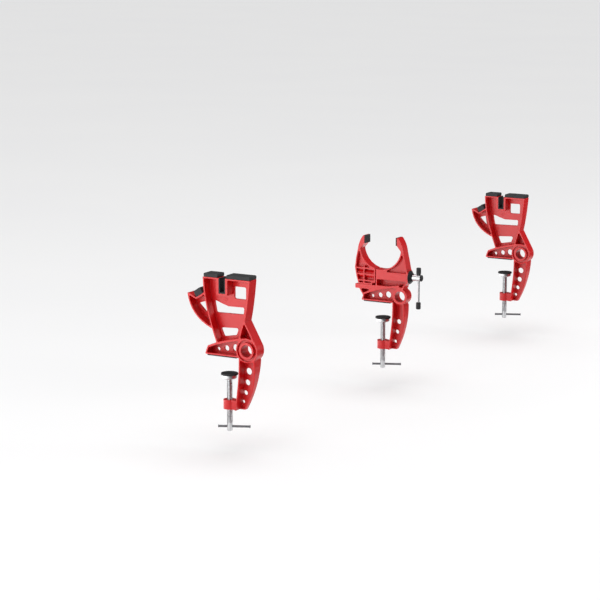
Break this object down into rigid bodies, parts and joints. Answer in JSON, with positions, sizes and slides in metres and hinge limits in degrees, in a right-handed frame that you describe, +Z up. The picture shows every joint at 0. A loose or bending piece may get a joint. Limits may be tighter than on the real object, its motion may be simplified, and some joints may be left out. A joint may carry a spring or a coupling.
{
  "type": "ski tuning vise set",
  "caption": "Bench-clamped vise for an alpine ski: a centre vise with a sliding jaw between two cradle supports, each with its own screw clamp.",
  "frame": {"origin": "on the bench top at its edge, in the middle plane of the centre vise", "axes": "+X along the row towards the far support, +Y in over the bench, +Z up"},
  "size_m": [1.2265, 0.166, 0.2838],
  "materials": {
    "red_powder_coat": "gloss red powder coat on cast aluminium",
    "bright_steel": "bright zinc plated steel",
    "black_rubber": "matt black rubber",
    "black_plastic": "satin black plastic"
  },
  "bodies": {
    "root": {"near_casting": "red_powder_coat", "near_arm_strip": "black_rubber", "near_top_pads": "black_rubber", "near_slot_liner": "black_rubber", "near_notch_pad": "black_rubber", "far_casting": "red_powder_coat", "far_arm_strip": "black_rubber", "far_top_pads": "black_rubber", "far_slot_liner": "black_rubber", "far_notch_pad": "black_rubber", "vise_casting": "red_powder_coat", "vise_arm_strip": "black_rubber", "fixed_jaw_pad": "black_rubber", "cone_washer": "black_plastic"},
    "near_pad": {"near_cup": "bright_steel", "near_disc": "black_rubber"},
    "near_screw": {"near_clamp_screw": "bright_steel"},
    "near_bar": {"near_tbar": "bright_steel"},
    "vise_pad": {"vise_cup": "bright_steel", "vise_disc": "black_rubber"},
    "vise_screw": {"vise_clamp_screw": "bright_steel"},
    "vise_bar": {"vise_tbar": "bright_steel"},
    "far_pad": {"far_cup": "bright_steel", "far_disc": "black_rubber"},
    "far_screw": {"far_clamp_screw": "bright_steel"},
    "far_bar": {"far_tbar": "bright_steel"},
    "jaw": {"moving_jaw": "red_powder_coat", "moving_jaw_pad": "black_rubber"},
    "jaw_screw": {"jaw_screw": "bright_steel", "jaw_screw_ring": "bright_steel", "handle_hub": "bright_steel", "hub_cap": "black_plastic"},
    "handle": {"handle_bar": "bright_steel", "upper_grip": "black_plastic", "lower_grip": "black_plastic"}
  },
  "joints": [
    {"name": "near_pad_slide", "type": "slide", "parent": "root", "child": "near_pad", "axis": [0, 0, 1], "range_m": [-0.036, 0.0295]},
    {"name": "near_screw_turn", "type": "hinge", "parent": "near_pad", "child": "near_screw", "pos_m": [-0.593, 0.0185, -0.09], "axis": [0, 0, 1], "range_deg": [-8645, 7085]},
    {"name": "near_tbar_slide", "type": "slide", "parent": "near_screw", "child": "near_bar", "axis": [0.4226, -0.9063, 0], "range_m": [-0.03, 0.014]},
    {"name": "vise_pad_slide", "type": "slide", "parent": "root", "child": "vise_pad", "axis": [0, 0, 1], "range_m": [-0.036, 0.0295]},
    {"name": "vise_screw_turn", "type": "hinge", "parent": "vise_pad", "child": "vise_screw", "pos_m": [0, 0.0185, -0.09], "axis": [0, 0, 1], "range_deg": [-8645, 7085]},
    {"name": "vise_tbar_slide", "type": "slide", "parent": "vise_screw", "child": "vise_bar", "axis": [0.4226, -0.9063, 0], "range_m": [-0.03, 0.014]},
    {"name": "far_pad_slide", "type": "slide", "parent": "root", "child": "far_pad", "axis": [0, 0, 1], "range_m": [-0.036, 0.0295]},
    {"name": "far_screw_turn", "type": "hinge", "parent": "far_pad", "child": "far_screw", "pos_m": [0.6, 0.0185, -0.09], "axis": [0, 0, 1], "range_deg": [-8645, 7085]},
    {"name": "far_tbar_slide", "type": "slide", "parent": "far_screw", "child": "far_bar", "axis": [0.4226, -0.9063, 0], "range_m": [-0.03, 0.014]},
    {"name": "jaw_screw_turn", "type": "hinge", "parent": "root", "child": "jaw_screw", "pos_m": [0, 0, 0.0553], "axis": [0, 1, 0], "range_deg": [-3170, 146]},
    {"name": "jaw_slide", "type": "slide", "parent": "root", "child": "jaw", "axis": [0, -1, 0], "range_m": [-0.022, 0.001]},
    {"name": "handle_slide", "type": "slide", "parent": "jaw_screw", "child": "handle", "axis": [0, 0, 1], "range_m": [0, 0.0425]}
  ],
  "couplings": [
    {"joint": "near_screw_turn", "follows": "near_pad_slide", "rad_per_m": 4188.8},
    {"joint": "vise_screw_turn", "follows": "vise_pad_slide", "rad_per_m": 4188.8},
    {"joint": "far_screw_turn", "follows": "far_pad_slide", "rad_per_m": 4188.8},
    {"joint": "jaw_screw_turn", "follows": "jaw_slide", "rad_per_m": 2513.3}
  ]
}
